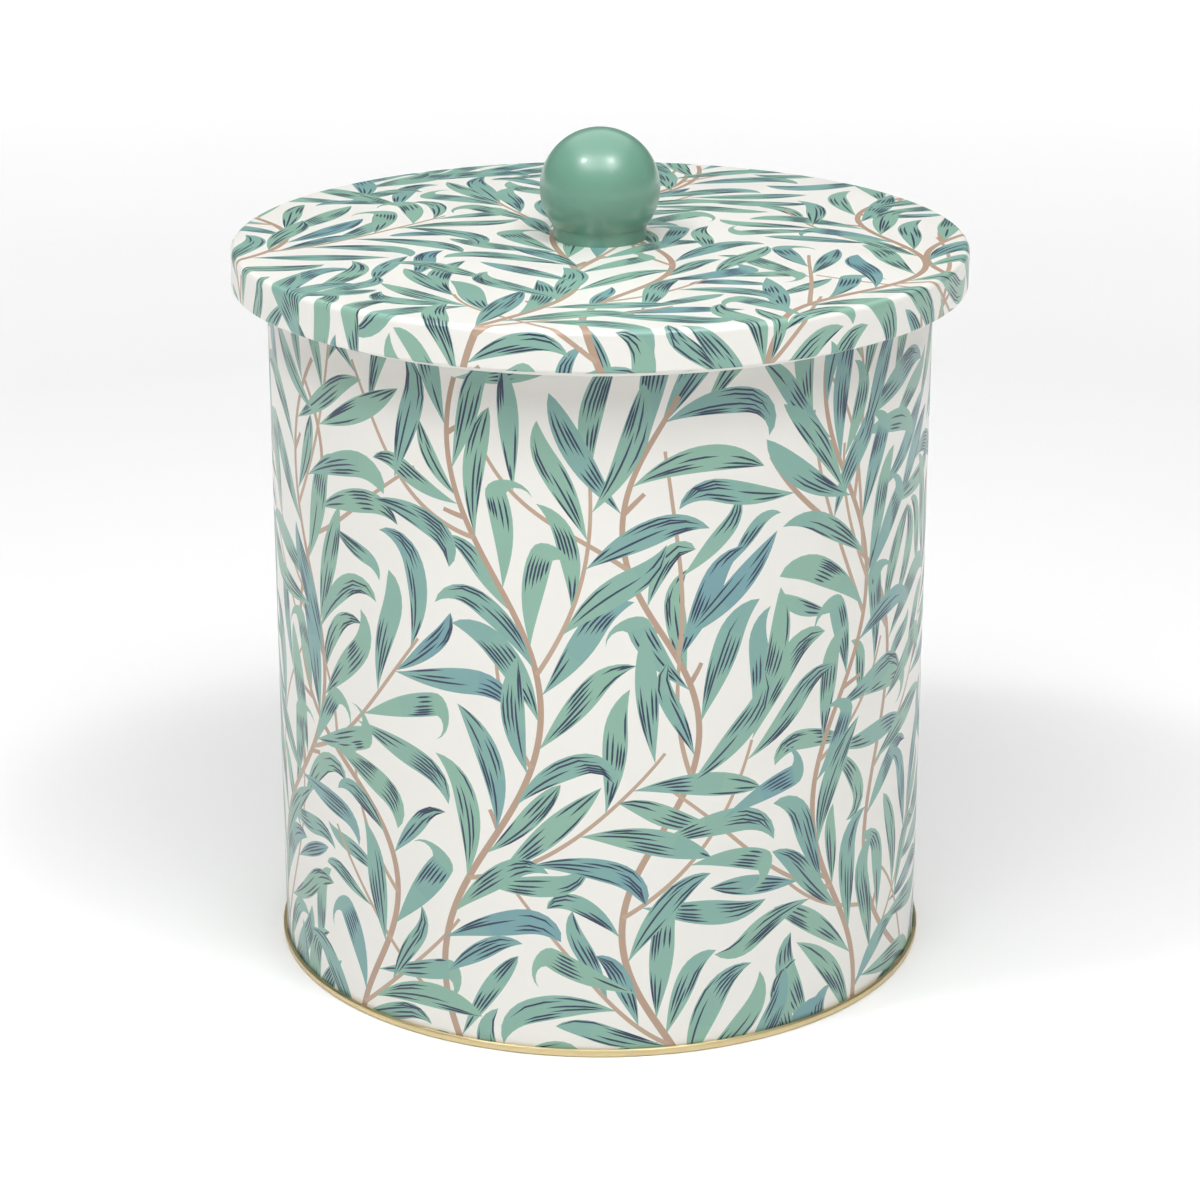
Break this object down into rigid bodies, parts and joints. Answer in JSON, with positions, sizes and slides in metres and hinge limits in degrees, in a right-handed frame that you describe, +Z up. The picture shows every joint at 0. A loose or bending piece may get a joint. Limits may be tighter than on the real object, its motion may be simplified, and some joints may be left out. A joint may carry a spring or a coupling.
{
  "type": "tea caddy",
  "caption": "Round printed tinplate caddy with a curled rim, double-seamed base, overhanging plug lid with a soft seal, and a ball knob.",
  "frame": {"origin": "centre of the foot ring, on the plane that the caddy stands on", "axes": "+Z up along the axis of the body, +Y towards the wall's side seam at the back"},
  "size_m": [0.16, 0.16, 0.185],
  "materials": {
    "printed_tin": "litho-printed leaf pattern under satin varnish",
    "gold_lacquered_tin": "transparent gold lacquer over bright tinplate",
    "seaming_compound": "dried latex sealing compound",
    "silicone": "translucent white, soft",
    "painted_wood": "turned, painted green and lacquered glossy",
    "brass": "turned and knurled",
    "zinc_plated_steel": "bright zinc plate"
  },
  "bodies": {
    "caddy": {"body_wall": "printed_tin", "base_end": "gold_lacquered_tin", "base_seam_compound": "seaming_compound"},
    "seal": {"lid_seal": "silicone"},
    "lid": {"lid_cap": "printed_tin", "lid_plug": "gold_lacquered_tin", "knob": "painted_wood", "knob_insert": "brass", "knob_screw": "zinc_plated_steel", "screw_washer": "zinc_plated_steel"}
  },
  "joints": [
    {"name": "lid_lift", "type": "slide", "parent": "caddy", "child": "seal", "axis": [0, 0, 1], "range_m": [0, 0.1]},
    {"name": "lid_turn", "type": "hinge", "parent": "seal", "child": "lid", "pos_m": [0, 0, 0.15], "axis": [0, 0, 1], "continuous": true}
  ]
}
